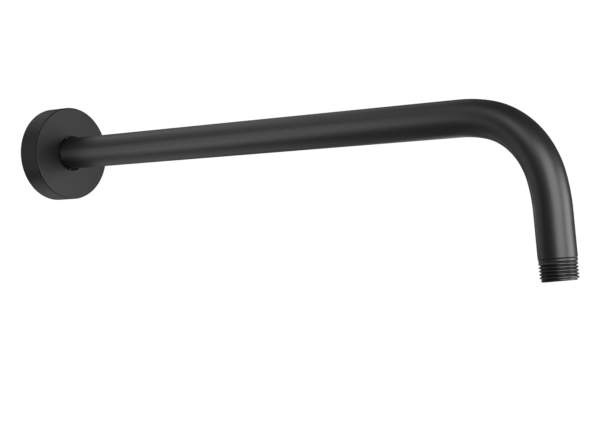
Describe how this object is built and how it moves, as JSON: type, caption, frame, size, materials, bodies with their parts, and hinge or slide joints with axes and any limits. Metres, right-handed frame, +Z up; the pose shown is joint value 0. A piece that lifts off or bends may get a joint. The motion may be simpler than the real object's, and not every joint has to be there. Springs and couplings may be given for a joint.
{
  "type": "shower arm",
  "caption": "Matte black wall-mounted shower arm: a long straight pipe bent down to a threaded outlet, with a threaded inlet and a round flange that slides along it to the wall",
  "frame": {"origin": "On the axis of the pipe's straight run, in the plane of the wall, where the flange's back rim rests", "axes": "+X leaves the wall along the straight run, +Z is up, and the pipe's short end drops towards -Z"},
  "size_m": [0.4308, 0.0634, 0.1234],
  "materials": {
    "pipe": "matte black coating on steel pipe",
    "flange": "matte black coating on turned steel",
    "ring": "smooth moulded black rubber"
  },
  "bodies": {
    "arm": {"shower_arm": "pipe"},
    "ring": {"grip_ring": "ring"},
    "flange": {"flange": "flange"}
  },
  "joints": [
    {"name": "flange_slide", "type": "slide", "parent": "arm", "child": "ring", "axis": [1, 0, 0], "range_m": [0, 0.325]},
    {"name": "flange_turn", "type": "hinge", "parent": "ring", "child": "flange", "pos_m": [0.01355, 0, 0], "axis": [1, 0, 0], "continuous": true}
  ]
}
